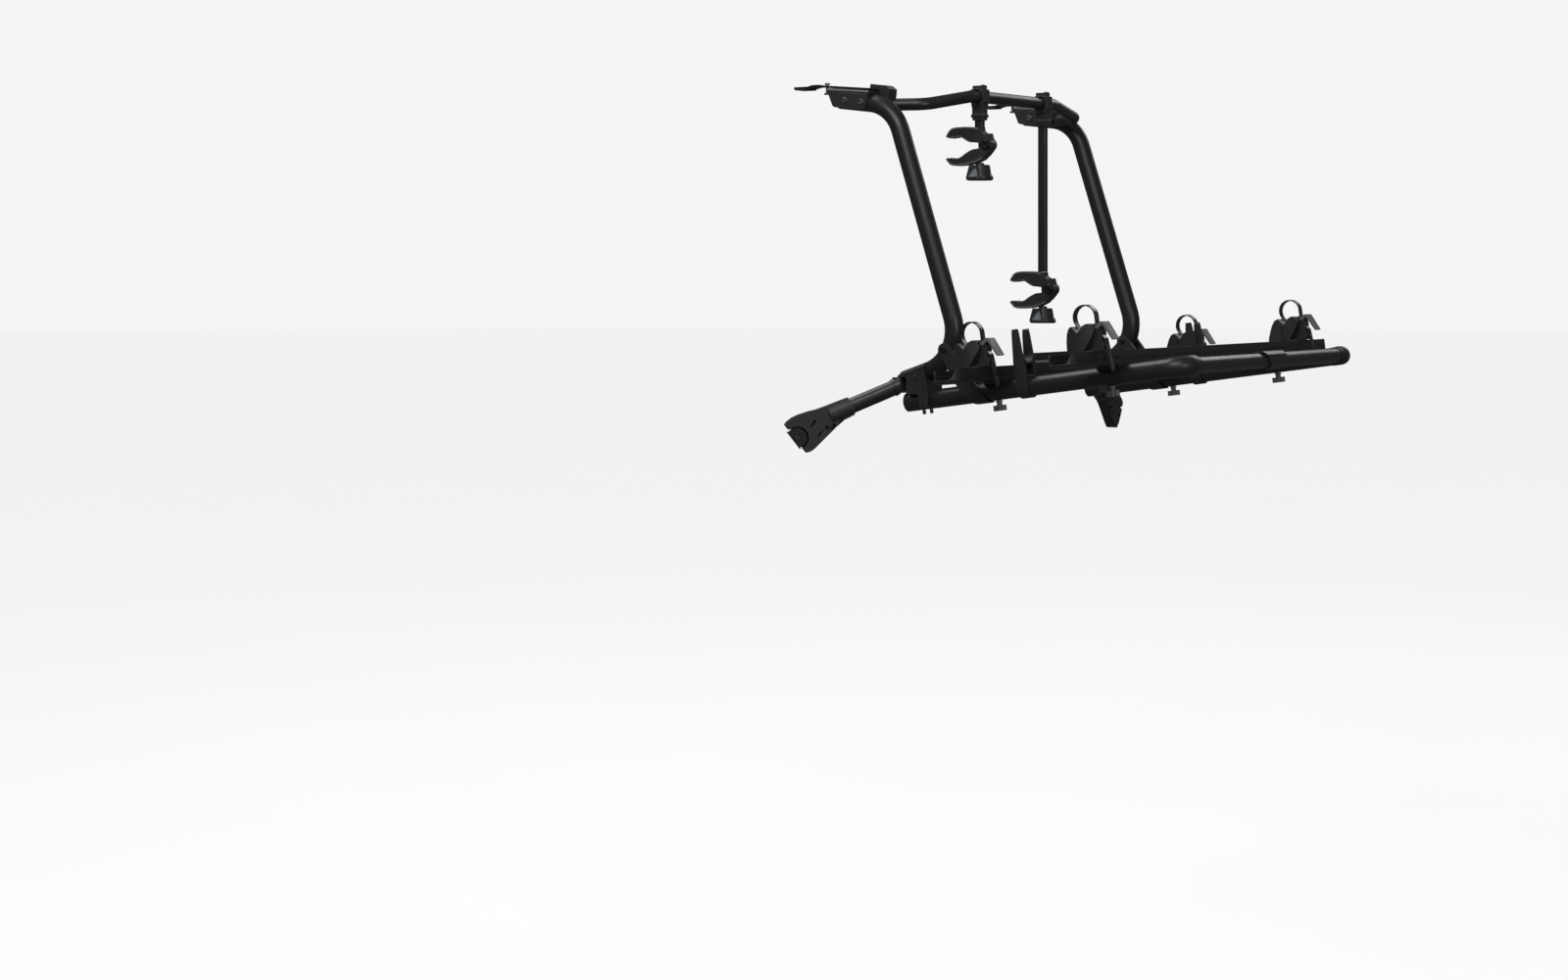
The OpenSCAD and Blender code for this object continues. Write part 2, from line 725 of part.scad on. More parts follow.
// stirrups that carry the side tubes from the fold pivots
stir_w = 2*(tube_r + ear_gap + ear_t);
ear_r = 17;
stir_in = 26;
stir_out = 84;
stir_low = tube_low + tube_r + ear_t*0.6;
module stirrup_shape() {
  difference() {
    translate([-side_x, 0, 0]) {
      x_rod(2*ear_r, stir_w);
      intersection() {
        side_profile([[ear_r*0.8, -ear_r*0.6], [-ear_r*0.5, ear_r*0.85], [-ear_r*1.1, ear_r*0.2],
          [-stir_out + stir_low*0.04, tube_r - tube_low], [-stir_out - stir_low*0.14, -stir_low],
          [-stir_out + stir_low*0.14, -stir_low], [-stir_out + stir_low*0.26, -stir_low*0.92],
          [-stir_in, tube_r*0.9 - tube_low]], stir_w);
        rotate([90, 0, 0])
          linear_extrude(height=4*tube_in, center=true) {
            translate([0, stir_w/2 - stir_low]) circle(d=stir_w);
            translate([-stir_w/2, stir_w/2 - stir_low]) square([stir_w, 2*stir_low]);
          }
      }
    }
    translate([-side_x, 0, 0]) {
      x_rod(bolt_d + 2*run_fit, stir_w + 2*lap);
      translate([-tube_r - ear_gap, -tube_in, -tube_low + tube_r*0.5])
        cube([tube_d + 2*ear_gap, 2*tube_in, 2*tube_low]);
      translate([0, 0, -tube_low])
        rotate([90, 0, 0])
          cylinder(d=tube_d, h=4*tube_in, center=true);
      for (s = [-1, 1])
        translate([s*stir_w/2, -rib_out, -rib_low])
          rotate([rib_turn, 0, 0]) {
            cube([rib_deep*2, rib_l, rib_w], center=true);
            translate([0, rib_l/2, rib_l*0.4]) rotate([90, 0, 0])
              cube([rib_deep*2, rib_l*0.8, rib_w], center=true);
          }
    }
  }
}
rib_out = 34;
rib_low = 44;
rib_l = 26;
rib_w = 4;
rib_deep = 1.5;
rib_turn = 40;

module pivot_stirrups() color(satin) platform() {
  stirrup_shape();
  right_half() stirrup_shape();
}

// wheel trays
tray_lift = 0.5;
tray_low = tube_low - tube_r - tray_lift;
step_h = tray_h*0.45;
step_w = 3;
module tray_section() {
  w = tray_w/2;
  polygon([[-w + step_w, 0], [w - step_w, 0], [w - step_w, step_h], [w, step_h + step_w],
    [w, tray_h], [w - tray_t, tray_h], [w - tray_t, step_h + step_w + tray_t],
    [w - step_w - tray_t, step_h + tray_t], [w - step_w - tray_t, tray_t],
    [-w + step_w + tray_t, tray_t], [-w + step_w + tray_t, step_h + tray_t],
    [-w + tray_t, step_h + step_w + tray_t], [-w + tray_t, tray_h], [-w, tray_h],
    [-w, step_h + step_w], [-w + step_w, step_h]]);
}

module tray_shape(out) {
  difference() {
    translate([0, -out, -tray_low])
      rotate([90, 0, 90])
        linear_extrude(height=tray_l, center=true)
          tray_section();
    for (s = [-side_x, side_x])
      translate([s, tee_in - out, -tray_low - tray_t])
        cylinder(d=tee_bolt + 2*rest_gap, h=tray_h);
  }
}

module inner_tray() color(dark) platform() {
  tray_shape(tray1_out);
  tray_saddles(tray1_out);
}
module outer_tray() color(dark) platform() {
  tray_shape(tray2_out);
  tray_saddles(tray2_out);
}

// low feet that bridge the tray floor and the round side tubes
module tray_saddles(out) {
  for (s = [-side_x, side_x])
    difference() {
      translate([s - saddle_w/2, -out - tray_w/2 + step_w, -tray_low - saddle_h])
        cube([saddle_w, tray_w - 2*step_w, saddle_h + tray_t/2]);
      translate([s, -out, -tube_low]) rotate([90, 0, 0]) cylinder(d=tube_d, h=2*tray_w, center=true);
      translate([s, tee_in - out, -tube_low]) cylinder(d=tee_bolt + 2*rest_gap, h=2*tube_d);
    }
}
saddle_w = 44;
saddle_h = 8;

// rounded cup that closes a tray end, dipped so a tyre can roll in
cup_t = 3.5;
cup_edge = 8;
module cup_shape(out) {
  r = tray_w/2;
  translate([-tray_l/2, -out, -tray_low])
    intersection() {
      difference() {
        rotate_extrude()
          polygon([[0, 0], [r - cup_edge, 0], [r - cup_edge*0.3, cup_edge*0.3], [r, cup_edge],
            [r, tray_h], [0, tray_h]]);
        translate([0, 0, cup_t])
          rotate_extrude()
            polygon([[0, 0], [r - cup_edge - cup_t*0.4, 0], [r - cup_edge*0.3 - cup_t, cup_edge*0.3],
              [r - cup_t, cup_edge], [r - cup_t, tray_h], [0, tray_h]]);
        rotate([90, 0, -90])
          linear_extrude(height=tray_w)
            polygon([[-r*0.95, tray_h + lap], [-r*0.92, tray_h*0.96], [-r*0.66, tray_h*0.36],
              [-r*0.5, tray_h*0.27], [r*0.5, tray_h*0.27], [r*0.66, tray_h*0.36],
              [r*0.92, tray_h*0.96], [r*0.95, tray_h + lap]]);
      }
      translate([-tray_w, -tray_w, -tray_h]) cube([tray_w, 2*tray_w, 3*tray_h]);
    }
}

module tray_end_cups() color(dark) platform() {
  for (out = [tray1_out, tray2_out]) {
    cup_shape(out);
    right_half() cup_shape(out);
  }
}

guard_h = 40;
guard_t = 4;
module guard_rail() color(dark) platform()
  translate([0, -tray1_out + tray_w/2, -tray_low + step_h])
    difference() {
      side_profile([[0, tray_t*2], [guard_t*1.5, tray_t*2], [guard_t*3, guard_h*0.42],
        [guard_t*3, guard_h*0.62], [guard_t*4.6, guard_h*0.72], [guard_t*4.6, guard_h*1.32],
        [guard_t*3.6, guard_h*1.32], [guard_t*3.6, guard_h*0.8], [guard_t*2, guard_h*0.7],
        [guard_t*2, guard_h*0.48], [guard_t*0.9, guard_t*3.2], [0, guard_t*3.2]], guard_l);
      for (s = [-1, 1])
        translate([s*guard_l/2, 0, guard_h*1.4])
          rotate([0, 45, 0])
            cube([guard_h*0.4, guard_h*2, guard_h*0.4], center=true);
    }

// clips that catch the uprights
clip_low = 33;
module clip_shape() {
  half = tube_r + ear_gap;
  difference() {
    intersection() {
      translate([-side_x, -clip_out, 0])
        rotate([90, 0, 0])
          linear_extrude(height=clip_l, center=true)
            difference() {
              union() {
                translate([0, -tube_low]) circle(r=tube_r + clip_t);
                translate([-half - clip_t, -tube_low])
                  square([2*half + 2*clip_t, tube_low + clip_top]);
              }
              translate([0, -tube_low]) circle(r=tube_r + run_fit);
              translate([0, -clip_low]) circle(r=half);
              translate([-half, -clip_low]) square([2*half, 3*tube_r]);
              translate([0, clip_top]) rotate([0, 0, 45]) square([half*1.6, half*1.6], center=true);
              translate([-half*0.72, -tube_low + tube_r + clip_t])
                square([half*1.44, tube_low - clip_low - half - tube_r - 2*clip_t]);
            }
      translate([-side_x, -clip_out, 0])
        side_profile([[-clip_l*0.5, -tube_low - tube_d], [clip_l*0.5, -tube_low - tube_d],
          [clip_l*0.5, -clip_low - tube_r], [clip_l*0.34, clip_top - clip_l*0.5],
          [clip_l*0.26, clip_top + lap], [-clip_l*0.26, clip_top + lap],
          [-clip_l*0.34, clip_top - clip_l*0.5], [-clip_l*0.5, -clip_low - tube_r]], 4*tube_d);
    }
  }
}

module upright_clips() color(dark) platform() {
  clip_shape();
  right_half() clip_shape();
}

// T-knobs
tee_h = 14;
tee_head_r = 7;
tee_in = 7;
module tee_shape(out) {
  translate([-side_x, tee_in - out, -tube_low - tube_r - tee_drop]) {
    cylinder(r=tee_head_r*1.15, h=tee_h);
    translate([-tee_head_r*0.7, -tee_w/2 + tee_head_r, 0])
      cube([tee_head_r*1.4, tee_w - 2*tee_head_r, tee_h]);
    for (s = [-1, 1])
      translate([0, s*(tee_w/2 - tee_head_r), 0]) cylinder(r=tee_head_r, h=tee_h);
    cylinder(d=tee_head_r*2, h=tee_drop - tee_head_r*0.4);
    translate([0, 0, tee_drop - tee_head_r*0.5 - rest_gap])
      cylinder(d=tee_head_r*2.6, h=tee_head_r*0.5);
    translate([0, 0, tee_drop + tube_d + tray_lift + tray_t + rest_gap])
      cylinder(d=tee_bolt*1.7, h=tee_bolt*0.6, $fn=6);
    cylinder(d=tee_bolt, h=tee_drop + tube_d + tray_lift + tray_t + tee_bolt*0.5);
  }
}

module tee_knob_1() color(grey) platform() tee_shape(tray1_out);
module tee_knob_2() color(grey) platform() tee_shape(tray2_out);
module tee_knob_3() color(grey) platform() right_half() tee_shape(tray1_out);
module tee_knob_4() color(grey) platform() right_half() tee_shape(tray2_out);

// wheel holders: a cradle astride the tray, a toothed strap and a ratchet lever
// heights are measured from the top of the tray walls
tray_top = tray_h - tray_low;
module holder(out) {
  translate([-holder_x, -out, tray_top]) children();
}

blade_round = 62;
tower_w = 25;
lever_pin = 5;
lever_pin_out = 39;
lever_pin_up = 57.5;
module cradle_shape() {
  foot_half = tray_w/2 - step_w - tray_t - rest_gap;
  difference() {
    union() {
      intersection() {
        union() {
          side_profile(cradle_h*cradle_shares, cradle_l);
          translate([-cradle_l/2, -foot_half, tray_t + rest_gap - tray_h])
            cube([cradle_l, 2*foot_half, tray_h]);
        }
        translate([blade_round - cradle_l/2, 0, -2*tray_h])
          cylinder(r=blade_round, h=4*cradle_h);
      }
      side_profile(cradle_h*tower_shares, tower_w);
    }
    // walls of the tray
    for (s = [-1, 1])
      translate([-cradle_l, s*(tray_w/2 - tray_t/2) - tray_t/2 - rest_gap, -2*tray_h])
        cube([2*cradle_l, tray_t + 2*rest_gap, 2*tray_h + rest_gap]);
    // shadow groove on the inner face
    translate([cradle_l/2, groove_in, cradle_h*0.36])
      cube([3*groove_w, 1.6*groove_w, cradle_h*0.66], center=true);
    strap_path(rest_gap);
    translate([0, -lever_pin_out, lever_pin_up]) x_rod(lever_pin, 2*tower_w);
  }
}
groove_in = 12;

module wheel_cradle_1() color(satin) platform() holder(tray1_out) cradle_shape();
module wheel_cradle_2() color(satin) platform() holder(tray2_out) cradle_shape();
module wheel_cradle_3() color(satin) platform() right_half() holder(tray1_out) cradle_shape();
module wheel_cradle_4() color(satin) platform() right_half() holder(tray2_out) cradle_shape();

// strap path in the plane across the tray: loop, buckle run and hanging tail
strap_shift = 4.5;
limb_turn = 25;
limb_l = 42;
buckle_up = 53.5;
tail_in = 50;
tail_up = 26;
tail_lean = 6.2;
tooth = 4;
module strap_path(grow) {
  ro = loop_w/2 + grow;
  ri = loop_w/2 - strap_t - grow;
  centre_up = loop_up - loop_w/2;
  near = -strap_shift - loop_w/2;
  translate([-strap_w/2 - grow, 0, 0])
    rotate([90, 0, 90])
      linear_extrude(height=strap_w + 2*grow) {
        translate([-strap_shift, centre_up])
          difference() {
            circle(r=ro);
            circle(r=ri);
            translate([-2*ro, -4*ro]) square([2*ro, 4*ro]);
            rotate(-limb_turn) translate([0, -2*ro]) square([2*ro, 2*ro]);
            translate([0, -2*ro]) square([ri*0.5, 2*ro]);
          }
        translate([-strap_shift, centre_up])
          rotate(-limb_turn)
            translate([ri + strap_t*0.04, -limb_l - grow])
              square([ro - ri - strap_t*0.08, limb_l + grow + strap_t*0.3]);
        translate([near - grow, buckle_up - grow])
          square([strap_t + 2*grow, centre_up - buckle_up + grow]);
        polygon([[near - grow, buckle_up], [near + strap_t + grow, buckle_up],
          [near + strap_t + grow, buckle_up - strap_t], [-tail_in + grow, tail_up - grow],
          [-tail_in - strap_t - grow, tail_up - grow], [-tail_in - strap_t - grow, tail_up + strap_t],
          [near - grow, buckle_up - strap_t*0.4]]);
        translate([-tail_in, tail_up])
          rotate(-tail_lean)
            translate([-strap_t - grow, -tail_l - grow])
              square([strap_t + 2*grow, tail_l + grow + strap_t*0.4]);
      }
}

module strap_shape() {
  near = -strap_shift - loop_w/2;
  difference() {
    strap_path(0);
    translate([0, -tail_in, tail_up])
      rotate([-tail_lean, 0, 0])
        for (s = [-1, 1])
          translate([s*strap_w/2, -strap_t/2, -tail_l])
            rotate([0, 45, 0])
              cube([strap_w*0.25, 4*strap_t, strap_w*0.25], center=true);
  }
  for (i = [0:4])
    translate([-strap_w*0.35, near - strap_t*0.3, buckle_up + cradle_h*0.26 + i*tooth])
      cube([strap_w*0.7, strap_t*0.5, tooth*0.5]);
  translate([0, -tail_in, tail_up])
    rotate([-tail_lean, 0, 0])
      for (i = [0:14])
        translate([-strap_w*0.35, -strap_t*1.3, -tail_l*0.92 + i*tooth])
          cube([strap_w*0.7, strap_t*0.5, tooth*0.5]);
}

module strap_1() color(dark) platform() holder(tray1_out) strap_shape();
module strap_2() color(dark) platform() holder(tray2_out) strap_shape();
module strap_3() color(dark) platform() right_half() holder(tray1_out) strap_shape();
module strap_4() color(dark) platform() right_half() holder(tray2_out) strap_shape();

lever_t = 3;
module lever_shape() {
  translate([0, -lever_pin_out, lever_pin_up]) {
    for (s = [-1, 1])
      translate([s*(tower_w/2 + lever_t/2 + rest_gap), 0, 0]) {
        side_profile(lever_l*lever_shares, lever_t);
        x_rod(lever_pin*1.8, lever_t);
      }
    x_rod(lever_pin - 2*run_fit, tower_w + 2*lever_t + 2*rest_gap);
    side_profile(lever_l*plate_shares, tower_w + 2*lever_t + 2*rest_gap);
  }
}

module strap_lever_1() color(grey) platform() holder(tray1_out) lever_shape();
module strap_lever_2() color(grey) platform() holder(tray2_out) lever_shape();
module strap_lever_3() color(grey) platform() right_half() holder(tray1_out) lever_shape();
module strap_lever_4() color(grey) platform() right_half() holder(tray2_out) lever_shape();

// stays: each swings about an upright pin between the casting lugs
module stay_hinge(yaw) {
  translate([-stay_x, -stay_out, -stay_drop]) rotate([0, 0, -yaw]) children();
}

module stay_frame(yaw) {
  stay_hinge(yaw) rotate([0, -stay_slope, 0]) children();
}

stay_tube_l = 180;
band_start = 13;
band_end = 24;
band_t = 2.5;
module stay_tube_shape(yaw) {
  difference() {
    union() {
      stay_frame(yaw) {
        translate([-band_end, 0, 0]) rotate([0, -90, 0]) pipe(stay_tube_l - band_end, stay_d);
        translate([-band_end - lap, 0, 0]) rotate([0, 90, 0]) cylinder(d=stay_d + 2*band_t, h=band_end);
      }
      stay_hinge(yaw) {
        translate([0, 0, -eye_down]) cylinder(r=lug_r, h=eye_up + eye_down);
        translate([-band_end, -lug_r, -eye_down]) cube([band_end, 2*lug_r, eye_up + eye_down]);
      }
    }
    stay_hinge(yaw) {
      cylinder(d=pin_d + 2*run_fit, h=6*lug_r, center=true);
      for (s = [-1, 1])
        translate([0, 0, s < 0 ? -eye_down - 6*lug_r : eye_up])
          cylinder(r=band_start, h=6*lug_r);
      difference() {
        translate([-band_start*0.7, -3*lug_r, -3*lug_r]) cube([5*lug_r, 6*lug_r, 6*lug_r]);
        translate([0, 0, -4*lug_r]) cylinder(r=lug_r, h=8*lug_r);
        translate([-2*lug_r, -lug_r, -4*lug_r]) cube([2*lug_r, 2*lug_r, 8*lug_r]);
      }
    }
  }
  stay_frame(yaw)
    translate([-band_end*0.72, -stay_d/2 - band_t*0.6, 0]) rotate([90, 0, 0]) button_head(screw_d);
}

module stay_tube_left() color(dark) stay_tube_shape(left_yaw);
module stay_tube_right() color(dark) right_half() stay_tube_shape(right_yaw);

pad_pin = 8;
pad_drop = 20;
pad_back = 25;
pad_flat = 10;
pad_turn = 15;
pad_gap = 4;
web_t = 6;
// slots of the foot: distance, height, turn, length and width
foot_slot_shares = [[0.832, -0.008, 30, 0.07, 0.018], [0.811, -0.11, 24, 0.064, 0.014],
  [0.734, -0.084, -50, 0.04, 0.03], [0.687, -0.094, 22, 0.055, 0.028],
  [0.604, -0.075, 22, 0.05, 0.01]];
// screws of the foot: distance and height
screw_shares = [[0.62, -0.018], [0.469, -0.02]];

module foot_shape() {
  difference() {
    union() {
      rotate([90, 0, 180])
        linear_extrude(height=foot_t, center=true)
          polygon(stay_reach*foot_shares);
      rotate([0, -90, 0])
        translate([0, 0, stay_reach*0.47])
          cylinder(d=stay_d + 8*unit_l, h=stay_reach*0.2);
    }
    rotate([0, -90, 0]) cylinder(d=stay_d + 2*run_fit, h=stay_tube_l + run_fit);
    translate([-stay_reach, -web_t, -pad_drop])
      rotate([90, 0, 0]) cylinder(r=pad_back + pad_gap, h=foot_t, center=true);
    translate([-stay_reach, 0, -pad_drop])
      rotate([0, -pad_turn, 0])
        translate([-3*pad_back, -foot_t, -2*pad_back])
          cube([3*pad_back - 0.2*pad_back, 2*foot_t, 4*pad_back]);
    for (s = foot_slot_shares)
      translate([-s[0]*stay_reach, 0, s[1]*stay_reach])
        rotate([0, -s[2], 0])
          cube([s[3]*stay_reach, 2*foot_t, s[4]*stay_reach], center=true);
  }
  for (s = screw_shares)
    translate([-s[0]*stay_reach, -stay_d/2 - 3*unit_l, s[1]*stay_reach])
      rotate([90, 0, 0]) button_head(screw_d);
  // web and pin that carry the pad
  translate([-stay_reach, foot_t/2, -pad_drop])
    rotate([90, 0, 0]) {
      cylinder(r=pad_back*0.36, h=web_t);
      translate([0, -pad_back*0.33, 0]) cube([pad_back*1.4, pad_back*0.66, web_t]);
    }
  translate([-stay_reach, 0, -pad_drop])
    rotate([90, 0, 0]) {
      translate([0, 0, -foot_t/2]) cylinder(d=pad_pin, h=foot_t);
      translate([0, 0, foot_t/2 - web_t/4]) cylinder(d=1.6*pad_pin, h=web_t/2);
    }
}

module foot_casting_left() color(satin) stay_frame(left_yaw) foot_shape();
module foot_casting_right() color(satin) right_half() stay_frame(right_yaw) foot_shape();

pad_w = 20;
module pad_body() {
  translate([-stay_reach, -web_t/2, -pad_drop])
    rotate([0, -pad_turn, 0])
      difference() {
        union() {
          intersection() {
            rotate([90, 0, 0]) cylinder(r=pad_back, h=pad_w, center=true);
            translate([-pad_flat, -foot_t, -2*pad_back])
              cube([pad_flat + 2*pad_back, 2*foot_t, 4*pad_back]);
          }
          translate([-pad_flat - pad_gap*0.4, -pad_w*0.55, -pad_face/2])
            cube([pad_gap*0.8, pad_w*1.1, pad_face]);
        }
        rotate([90, 0, 0]) cylinder(d=pad_pin + 2*run_fit, h=2*foot_t, center=true);
      }
}

module foot_pad_left() color(dark) stay_frame(left_yaw) pad_body();
module foot_pad_right() color(dark) right_half() stay_frame(right_yaw) pad_body();

// frame holder arms; each is built with the bar axis at its own origin
module short_arm() translate([-short_x, -bar_reach, -bar_drop]) children();
module long_arm() translate([long_x, -bar_reach, -bar_drop]) children();

clamp_x = 30;
clamp_y = 42;
clamp_low = 62;
module arm_clamp_shape() {
  difference() {
    union() {
      translate([-clamp_x/2, -clamp_y/2, -clamp_y*0.35]) cube([clamp_x, clamp_y, clamp_y*0.8]);
      x_rod(clamp_y, clamp_x);
      translate([-clamp_x*0.4, -clamp_y*0.36, clamp_y*0.4]) cube([clamp_x*0.8, clamp_y*0.72, clamp_y*0.3]);
      translate([-clamp_x*0.5, 0, 0])
        side_wedge();
      translate([-clamp_x*0.43, -clamp_y*0.38, -clamp_low*0.78]) cube([clamp_x*0.86, clamp_y*0.76, clamp_low*0.6]);
      translate([-clamp_x*0.5, -clamp_y*0.43, -clamp_low*0.88]) cube([clamp_x, clamp_y*0.86, clamp_low*0.14]);
      translate([-clamp_x*0.42, -clamp_y*0.37, -clamp_low]) cube([clamp_x*0.84, clamp_y*0.74, clamp_low*0.2]);
      // tapered tongue lying on the bar
      translate([-clamp_x*1.05, -bar_r*0.4, bar_r*1.04]) cube([clamp_x*0.7, bar_r*0.8, bar_r*0.17]);
      for (s = [-1, 1])
        translate([s*clamp_x*0.2, -clamp_y*0.28, clamp_y*0.7]) button_head(clamp_x*0.3);
    }
    x_rod(bar_d + 2*run_fit, 4*clamp_x);
    translate([-arm_wide/2, -arm_deep/2, -2*clamp_low]) cube([arm_wide, arm_deep, 2*clamp_low - bar_r - arm_gap]);
  }
}
arm_gap = 5;

module side_wedge() {
  translate([clamp_x*0.5, 0, 0])
    side_profile([[-clamp_y/2, 0], [clamp_y/2, 0], [clamp_y*0.38, -clamp_low*0.45],
      [-clamp_y*0.38, -clamp_low*0.45]], clamp_x);
}

module short_arm_clamp() color(satin) short_arm() arm_clamp_shape();
module long_arm_clamp() color(satin) long_arm() arm_clamp_shape();

// rectangular tube with round corners
arm_round = 4;
module arm_section(w, d, r) {
  union() {
    square([w - 2*r, d], center=true);
    square([w, d - 2*r], center=true);
    for (sx = [-1, 1])
      for (sy = [-1, 1])
        translate([sx*(w/2 - r), sy*(d/2 - r)]) circle(r=r);
  }
}

module arm_tube_shape(drop) {
  top = bar_r + arm_gap + rest_gap;
  translate([0, 0, -drop + jaw_l*0.38 + rest_gap])
    linear_extrude(height=drop - jaw_l*0.38 - rest_gap - top)
      difference() {
        arm_section(arm_wide - 2*run_fit, arm_deep - 2*run_fit, arm_round);
        arm_section(arm_wide - 2*wall, arm_deep - 2*wall, arm_round - wall);
      }
}

module short_arm_tube() color(dark) short_arm() arm_tube_shape(short_drop);
module long_arm_tube() color(dark) long_arm() arm_tube_shape(long_drop);

// jaws lie in the YZ plane and point toward the vehicle
module at_hub(drop) translate([0, -hub_out, -drop]) children();

hub_pin = 10;
cheek = jaw_t*0.34;
module upper_jaw_shape(drop) {
  at_hub(drop)
    difference() {
      union() {
        intersection() {
          side_profile(jaw_l*jaw_up_shares, jaw_t);
          translate([-jaw_t, hub_d/2 + 2*unit_l - jaw_l, -jaw_l]) cube([2*jaw_t, 2*jaw_l, 2*jaw_l]);
        }
        x_rod(hub_d, cheek);
        translate([-arm_wide/2, hub_out - arm_deep/2, jaw_l*0.2]) cube([arm_wide, arm_deep, jaw_l*0.18]);
        translate([0, 0, jaw_l*0.12]) side_profile([[-hub_d*0.42, 0], [hub_d*0.8, -jaw_l*0.05],
          [hub_d*0.8, jaw_l*0.12], [-hub_d*0.3, jaw_l*0.12]], cheek);
      }
      difference() {
        translate([-jaw_t, 0, 0])
          rotate([0, 90, 0])
            cylinder(r=hub_d/2 + 2*rest_gap, h=2*jaw_t);
        translate([-cheek/2, -hub_d, -hub_d]) cube([cheek, 2*hub_d, 2*hub_d]);
      }
      x_rod(hub_pin, 2*jaw_t);
      translate([0, hub_out, -2*jaw_l]) cylinder(d=stud_d, h=2*jaw_l + jaw_l*0.3);
    }
}
stud_d = 8;

module short_upper_jaw() color(satin) short_arm() upper_jaw_shape(short_drop);
module long_upper_jaw() color(satin) long_arm() upper_jaw_shape(long_drop);

module lower_jaw_shape(drop) {
  at_hub(drop)
    difference() {
      union() {
        intersection() {
          side_profile(jaw_l*jaw_low_shares, jaw_t);
          union() {
            translate([-jaw_t, hub_d*0.2, -jaw_l]) cube([2*jaw_t, 2*jaw_l, jaw_l]);
            translate([-jaw_t, -jaw_l, -jaw_l - hub_d*0.2]) cube([2*jaw_t, 2*jaw_l, jaw_l]);
          }
        }
        for (s = [-1, 1])
          translate([s*(jaw_t/2 - cheek/2), 0, 0]) x_rod(hub_d, cheek);
      }
      translate([-cheek/2 - rest_gap, 0, 0])
        rotate([0, 90, 0])
          cylinder(r=hub_d/2 + 2*rest_gap, h=cheek + 2*rest_gap);
      translate([-cheek/2 - rest_gap, -hub_d, -hub_d*0.2])
        cube([cheek + 2*rest_gap, 2*hub_d, 2*hub_d]);
      x_rod(hub_pin + 2*run_fit, 2*jaw_t);
      translate([0, hub_out, -jaw_l*0.4])
        cube([stud_d*1.6, stud_d*3.4, jaw_l], center=true);
    }
}

module short_lower_jaw() color(satin) short_arm() lower_jaw_shape(short_drop);
module long_lower_jaw() color(satin) long_arm() lower_jaw_shape(long_drop);

module hub_bolt_shape(drop) {
  at_hub(drop) {
    x_rod(hub_pin, jaw_t + 2*rest_gap);
    for (s = [-1, 1])
      translate([s*(jaw_t/2 + rest_gap), 0, 0])
        rotate([0, s*90, 0])
          button_head(hub_d*0.8);
  }
}

module short_hub_bolt() color(steel) short_arm() hub_bolt_shape(short_drop);
module long_hub_bolt() color(steel) long_arm() hub_bolt_shape(long_drop);

// torque knob: flared body with three lobes, hung from a threaded stud
neck_d = 23;
neck_h = 6;
knob_top = jaw_l*0.38;
module knob_shape(drop) {
  at_hub(drop)
    translate([0, hub_out, -knob_top - neck_h - knob_h]) {
      rotate_extrude()
        polygon([[0, 0], [knob_d*0.45, 0], [knob_d*0.485, knob_h*0.07], [knob_d*0.485, knob_h*0.2],
          [knob_d*0.4, knob_h*0.42], [knob_d*0.3, knob_h*0.7], [knob_d*0.26, knob_h*0.94],
          [0, knob_h*0.94]]);
      intersection() {
        rotate_extrude()
          polygon([[0, knob_h*0.05], [knob_d*0.49, knob_h*0.05], [knob_d*0.5, knob_h*0.12],
            [knob_d*0.5, knob_h*0.24], [knob_d*0.39, knob_h], [0, knob_h]]);
        linear_extrude(height=2*knob_h)
          for (s = [0, 1, 2])
            rotate(knob_phase + s*120)
              translate([-knob_d*0.1, -knob_d*0.21]) square([knob_d, knob_d*0.42]);
      }
      cylinder(d=neck_d, h=knob_h + neck_h - rest_gap);
      cylinder(d=stud_d - 2*run_fit, h=knob_h + neck_h + knob_top + jaw_l*0.25);
    }
}
knob_phase = -125;

module short_knob() color(dark) short_arm() knob_shape(short_drop);
module long_knob() color(dark) long_arm() knob_shape(long_drop);

upright_left();
upright_right();
roof_hook_left();
roof_hook_right();
hook_seat_pads();
bracket_cover_left();
bracket_cover_right();
bracket_bolts();
bar_collars();
cross_bar();
lower_casting_left();
lower_casting_right();
fold_pivot_bolts();
side_tube_left();
side_tube_right();
tube_end_plugs();
corner_elbows();
front_tube();
front_sleeve();
pivot_stirrups();
inner_tray();
outer_tray();
tray_end_cups();
guard_rail();
upright_clips();
tee_knob_1();
tee_knob_2();
tee_knob_3();
tee_knob_4();
wheel_cradle_1();
wheel_cradle_2();
wheel_cradle_3();
wheel_cradle_4();
strap_1();
strap_2();
strap_3();
strap_4();
strap_lever_1();
strap_lever_2();
strap_lever_3();
strap_lever_4();
stay_tube_left();
stay_tube_right();
foot_casting_left();
foot_casting_right();
foot_pad_left();
foot_pad_right();
short_arm_clamp();
short_arm_tube();
short_upper_jaw();
short_lower_jaw();
short_hub_bolt();
short_knob();
long_arm_clamp();
long_arm_tube();
long_upper_jaw();
long_lower_jaw();
long_hub_bolt();
long_knob();
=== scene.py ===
import math

import bmesh
import bpy
from mathutils import Matrix, Vector


